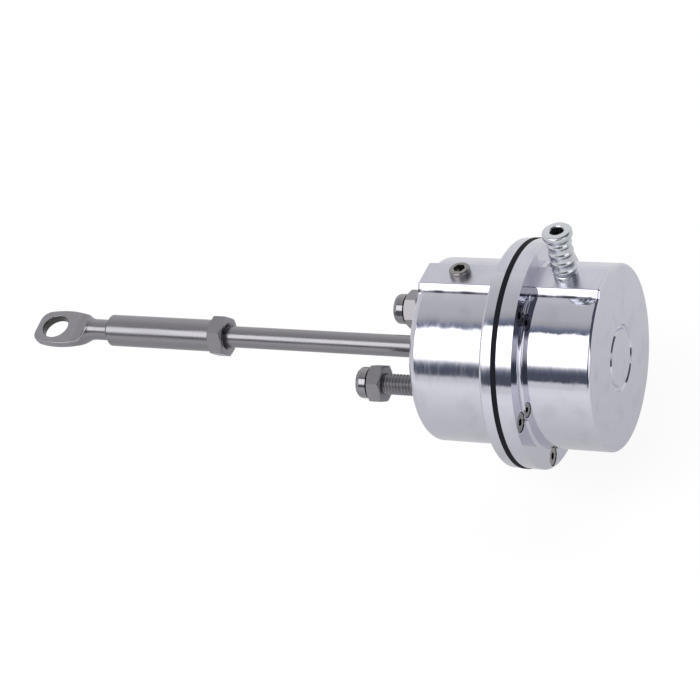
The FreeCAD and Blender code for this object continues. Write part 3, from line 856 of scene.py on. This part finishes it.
def root_fillets():
    """Fillets at the feet of both flanges; the screws' counterbores cut through the cap's one."""
    wall, radius = HOUSING_ROOT
    root_arc("housing_root", root_section(wall, radius, -1), 0, 360, -1)
    wall, radius = CAP_ROOT
    edge = BODY_RADIUS + radius
    share = (SCREW_CIRCLE ** 2 + edge ** 2 - CUTTER_RADIUS ** 2) / (2 * SCREW_CIRCLE * edge)
    cut = math.degrees(math.acos(share))
    step = 360 / SCREW_COUNT
    for index in range(SCREW_COUNT):
        root_arc("cap_root_%d" % (index + 1), root_section(wall, radius, 1),
                 step * index + cut, step * (index + 1) - cut, 1)


def barb_profile(bottom):
    """(radius, height) points of the barb from its bore's foot round the outside to its top."""
    points = [(BARB_BORE, bottom), (BARB_THREAD, bottom), (BARB_THREAD, 0.0), (BARB_BASE, 0.0),
              (BARB_BASE, BARB_BASE_HEIGHT - BARB_BASE_EDGE), (BARB_BASE - BARB_BASE_EDGE, BARB_BASE_HEIGHT)]
    for index in range(BARB_RIB_COUNT):
        middle = BARB_RIB_FIRST + index * BARB_RIB_PITCH
        for step in range(BARB_RIB_STEPS + 1):
            share = 2 * step / BARB_RIB_STEPS - 1
            rise = 0.5 + 0.5 * math.cos(math.pi * share)
            points.append((BARB_VALLEY + (BARB_RIB - BARB_VALLEY) * rise, middle + share * BARB_RIB_HALF))
    points += [(BARB_VALLEY, BARB_HEAD_START),
               (BARB_HEAD - BARB_CONE_BACK[0], BARB_HEAD_FULL - BARB_CONE_BACK[1]),
               (BARB_HEAD, BARB_HEAD_FULL)]
    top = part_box("hose_barb")[1].z - PAD_LEVEL
    for step in range(BARB_HEAD_STEPS + 1):
        angle = math.radians(90 * step / BARB_HEAD_STEPS)
        points.append((BARB_HEAD - BARB_HEAD_ROUND * (1 - math.cos(angle)),
                       top - BARB_HEAD_ROUND * (1 - math.sin(angle))))
    points += [(BARB_BORE + BARB_BORE_EDGE, top), (BARB_BORE, top - BARB_BORE_EDGE)]
    return points


def turned_barb():
    """Hose barb turned about its own upright axis, with soft ribs and a rounded head."""
    low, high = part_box("hose_barb")
    middle = (low + high) / 2
    profile = barb_profile(low.z - PAD_LEVEL)
    vertices = []
    for radius, height in profile:
        for side in range(BARB_SIDES):
            angle = 2 * math.pi * side / BARB_SIDES
            vertices.append((middle.x + radius * math.cos(angle), middle.y + radius * math.sin(angle),
                             PAD_LEVEL + height))
    mesh = turned_mesh("turned_barb", vertices, ring_faces(len(profile), len(profile), BARB_SIDES))
    mesh.set_sharp_from_angle(angle=math.radians(BARB_CREASE))
    place_mesh(mesh, "can", "plated_barb", "hose_barb")


def spring_rise(turn, low, high):
    """Place along the axis of the wire's middle; the end half turns lie down to be ground flat."""
    lowest = low + SPRING_GROUND
    highest = high - SPRING_GROUND
    first = low + SPRING_WIRE / 2
    last = high - SPRING_WIRE / 2
    top_turn = SPRING_END_TURN + SPRING_TURNS
    if turn < SPRING_END_TURN:
        return lowest + (first - lowest) * turn / SPRING_END_TURN
    if turn > top_turn:
        return last + (highest - last) * (turn - SPRING_END_TURN - SPRING_TURNS) / SPRING_END_TURN
    return first + (last - first) * (turn - SPRING_END_TURN) / SPRING_TURNS


def coil_spring():
    """Return spring with ground ends."""
    low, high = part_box("return_spring")
    coil = (high.y - low.y) / 2 - SPRING_WIRE / 2
    total = SPRING_TURNS + 2 * SPRING_END_TURN
    count = round(total * SPRING_STEPS)
    vertices = []
    for step in range(count + 1):
        turn = total * step / count
        middle = spring_rise(turn, low.x, high.x)
        angle = 2 * math.pi * turn
        for side in range(SPRING_SIDES):
            around = 2 * math.pi * side / SPRING_SIDES
            radius = coil + SPRING_WIRE / 2 * math.cos(around)
            x = min(high.x, max(low.x, middle + SPRING_WIRE / 2 * math.sin(around)))
            vertices.append((x, radius * math.cos(angle), radius * math.sin(angle)))
    faces = [[here, there, there_after, here_after]
             for here, here_after, there_after, there in ring_faces(count, count + 1, SPRING_SIDES)]
    faces.append(list(range(SPRING_SIDES)))
    faces.append(list(reversed(range(count * SPRING_SIDES, (count + 1) * SPRING_SIDES))))
    piece = place_mesh(turned_mesh("coil_spring", vertices, faces), "can", "spring_steel", "return_spring")
    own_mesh(piece)


def forged_eye():
    """The rod end with the soft edges of a forging, remeshed from its CAD form and smoothed."""
    rough = bpy.data.objects.new("rough_eye", frame["nodes"]["rod_end"].data.copy())
    bpy.context.collection.objects.link(rough)
    remesh = rough.modifiers.new("grain", "REMESH")
    remesh.mode = "VOXEL"
    remesh.voxel_size = FORGING_GRAIN
    soften = rough.modifiers.new("soften", "SMOOTH")
    soften.factor = FORGING_SOFTNESS
    soften.iterations = FORGING_SMOOTHING
    shown = rough.evaluated_get(bpy.context.evaluated_depsgraph_get())
    mesh = bpy.data.meshes.new_from_object(shown)
    mesh.name = "forged_eye"
    bpy.data.objects.remove(rough)
    mesh.polygons.foreach_set("use_smooth", [True] * len(mesh.polygons))
    mesh.materials.clear()
    place_mesh(mesh, "adjuster", "stainless_rod", "rod_end")


add_camera()
add_world()
add_floor()
for lamp in LAMPS:
    add_lamp(*lamp)
bpy.context.scene.view_settings.view_transform = "Standard"

finishes = {
    "polished_aluminium": polished_aluminium(),
    "piston_aluminium": mottled_metal("piston_aluminium", (0.50, 0.50, 0.52), 0.3),
    "diaphragm_rubber": soft_material("diaphragm_rubber", (0.005, 0.005, 0.009), 0.7, 2500.0,
                                      0.02 * MM, 0.15),
    "seal_rubber": soft_material("seal_rubber", (0.02, 0.02, 0.02), 0.6, 2000.0, 0.01 * MM),
    "stainless_rod": forged_steel("stainless_rod", (0.30, 0.29, 0.315), 0.26, 0.04),
    "stainless_screw": mottled_metal("stainless_screw", (0.30, 0.29, 0.28), 0.12),
    "zinc_steel": nut_steel("zinc_steel", (0.315, 0.305, 0.325), 0.34),
    "plated_barb": mottled_metal("plated_barb", (0.66, 0.68, 0.72), 0.25, 600.0, 0.06),
    "spring_steel": mottled_metal("spring_steel", (0.2, 0.2, 0.2), 0.3),
    "bush_brass": mottled_metal("bush_brass", (0.55, 0.4, 0.15), 0.3),
    "nylon": soft_material("nylon", (0.7, 0.7, 0.68), 0.5, 1500.0, 0.01 * MM),
}
for part in frame["record"]["subparts"]:
    node = frame["nodes"][part["node"]]
    node.data.materials.clear()
    node.data.materials.append(finishes[part["material_slot"]])

for number in (1, 2):
    threaded_stud(number)
grooved_cap()
turned_barb()
forged_eye()
root_fillets()
coil_spring()
for side, place in ((-1, "near"), (1, "far")):
    pad_foot("housing_foot_" + place, HOUSING_FOOT, side)
    pad_foot("cap_foot_" + place, CAP_FOOT, side)
